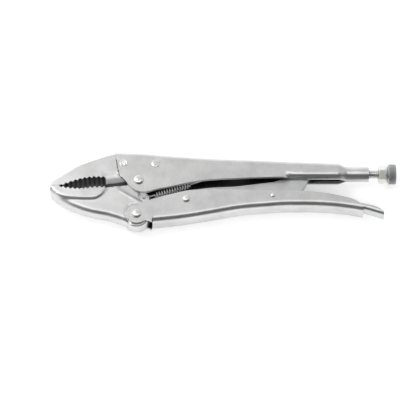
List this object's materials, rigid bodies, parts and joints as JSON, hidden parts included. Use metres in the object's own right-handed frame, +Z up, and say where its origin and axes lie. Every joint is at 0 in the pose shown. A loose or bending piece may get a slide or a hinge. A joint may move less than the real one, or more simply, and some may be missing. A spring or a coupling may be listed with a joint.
{
  "type": "locking pliers",
  "caption": "Locking pliers with oval serrated jaws and a wire cutter: toggle link in sheet-steel handles, release lever, adjusting screw with knurled knob and jam nut.",
  "frame": {"origin": "centre of the tool's bounding box in X and Y, at the bottom of the flat rivet heads it lies on", "axes": "+X along the tool from the jaw tips to the knob, +Y from the lower handle to the upper handle, +Z up through the thickness"},
  "size_m": [0.3, 0.0724, 0.0217],
  "materials": {
    "handle_sheet": "satin nickel plated pressed steel sheet",
    "forged_jaw": "satin plated drop-forged steel, slightly grainy",
    "rivet": "semi-bright plated steel rivet",
    "link_steel": "plated flat steel, duller",
    "lever_sheet": "satin nickel plated pressed steel sheet",
    "screw_steel": "bright zinc plated thread",
    "knob_steel": "bright nickel plated, knurled",
    "nut_steel": "bright zinc plated",
    "spring_wire": "plated spring wire"
  },
  "bodies": {
    "frame": {"upper_handle": "handle_sheet", "upper_jaw": "forged_jaw", "upper_jaw_rivet_front": "rivet", "upper_jaw_rivet_rear": "rivet", "jaw_pivot_rivet": "rivet", "opening_spring": "spring_wire"},
    "lower_jaw": {"lower_jaw": "forged_jaw"},
    "lower_handle": {"lower_handle": "handle_sheet", "lower_pivot_rivet": "rivet", "link_rivet": "rivet", "link_spacer_near": "link_steel", "link_spacer_far": "link_steel", "release_lever_rivet": "rivet"},
    "toggle_link": {"toggle_link": "link_steel"},
    "release_lever": {"release_lever": "lever_sheet"},
    "screw": {"adjusting_screw": "screw_steel"},
    "knob": {"adjusting_knob": "knob_steel"},
    "lock_nut": {"lock_nut": "nut_steel"}
  },
  "joints": [
    {"name": "jaw_pivot", "type": "hinge", "parent": "frame", "child": "lower_jaw", "pos_m": [-0.0738, 0.00775, 0.01045], "axis": [0, 0, 1], "range_deg": [0, 20], "deforming": ["opening_spring"]},
    {"name": "handle_pivot", "type": "hinge", "parent": "lower_jaw", "child": "lower_handle", "pos_m": [-0.0751, -0.02505, 0.01045], "axis": [0, 0, 1], "range_deg": [-64, 1]},
    {"name": "link_pivot", "type": "hinge", "parent": "lower_handle", "child": "toggle_link", "pos_m": [-0.0326, -0.01085, 0.01045], "axis": [0, 0, 1], "range_deg": [-1, 64]},
    {"name": "release_pivot", "type": "hinge", "parent": "lower_handle", "child": "release_lever", "pos_m": [0.0424, -0.00715, 0.01045], "axis": [0, 0, 1], "range_deg": [0, 6]},
    {"name": "screw_travel", "type": "slide", "parent": "frame", "child": "screw", "axis": [1, 0, 0], "range_m": [0, 0.02]},
    {"name": "knob_turn", "type": "hinge", "parent": "screw", "child": "knob", "pos_m": [0.1262, 0.01795, 0.01045], "axis": [1, 0, 0], "range_deg": [0, 5765]},
    {"name": "lock_nut_travel", "type": "slide", "parent": "screw", "child": "lock_nut", "axis": [1, 0, 0], "range_m": [-0.0083, 0.0009]}
  ],
  "couplings": [
    {"joint": "handle_pivot", "follows": "jaw_pivot", "ratio": -3.15},
    {"joint": "link_pivot", "follows": "jaw_pivot", "ratio": 3.15},
    {"joint": "knob_turn", "follows": "screw_travel", "rad_per_m": 5026.5}
  ]
}
